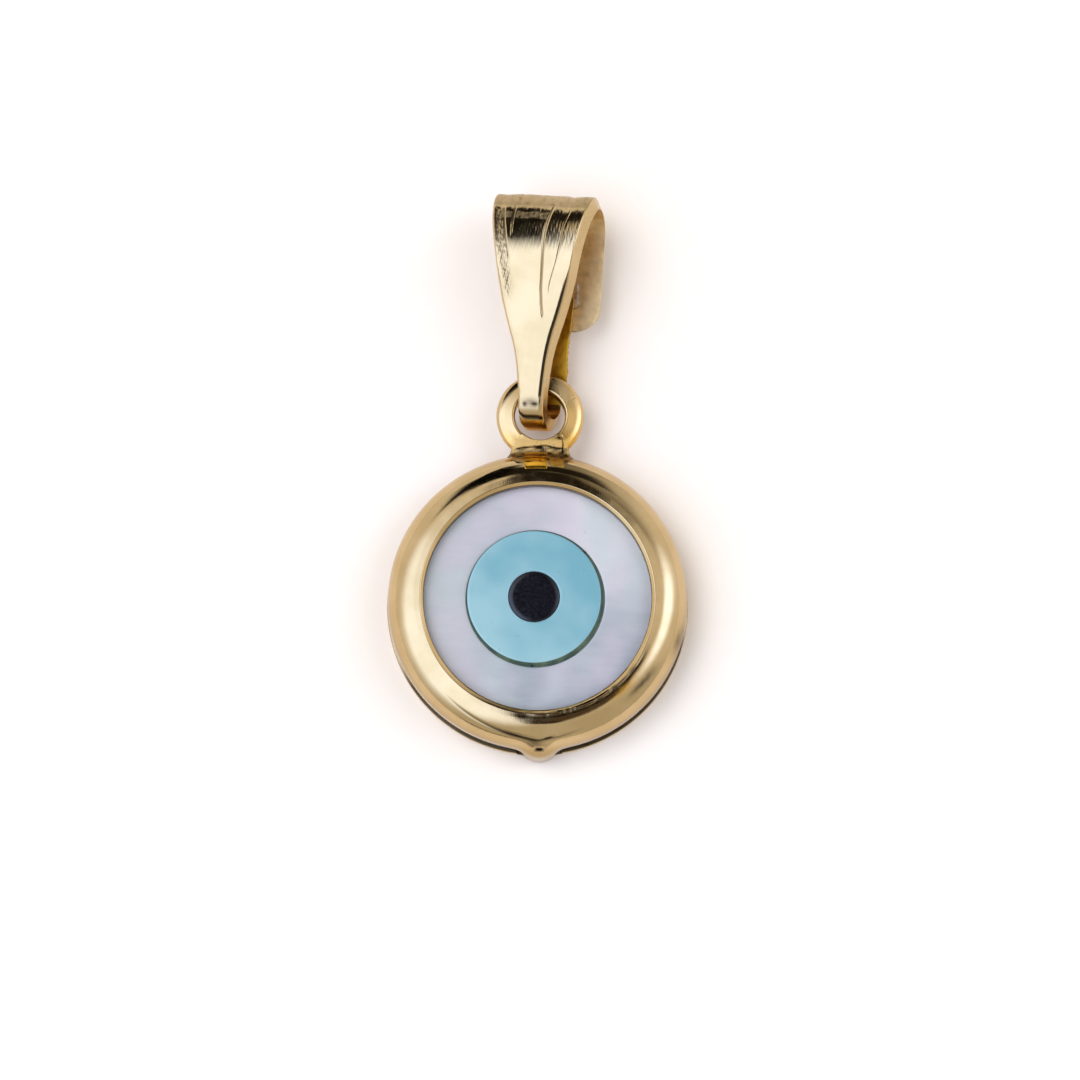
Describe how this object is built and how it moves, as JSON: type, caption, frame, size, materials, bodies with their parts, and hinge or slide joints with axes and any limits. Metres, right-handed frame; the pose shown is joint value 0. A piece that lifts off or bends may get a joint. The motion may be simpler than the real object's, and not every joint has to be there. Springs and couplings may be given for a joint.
{
  "type": "evil eye pendant",
  "caption": "Small round pendant with a puffed gold bezel, a mother-of-pearl disc, an inlaid turquoise iris with a black pupil, and a tapered bail through a soldered eyelet.",
  "frame": {"origin": "middle of the back plate's flat outer face", "axes": "+X to the right of the face, +Y from the disc towards the bail, +Z out of the face; the pendant lies on its back on the plane z = 0"},
  "size_m": [0.012, 0.0228, 0.0044],
  "materials": {
    "bezel_gold": "polished",
    "back_gold": "polished",
    "mother_of_pearl": "polished",
    "turquoise": "satin",
    "black_stone": "polished",
    "bail_gold": "polished"
  },
  "bodies": {
    "root": {"bezel": "bezel_gold", "back_plate": "back_gold", "pearl": "mother_of_pearl", "iris": "turquoise", "pupil": "black_stone", "bail": "bail_gold"}
  },
  "joints": []
}
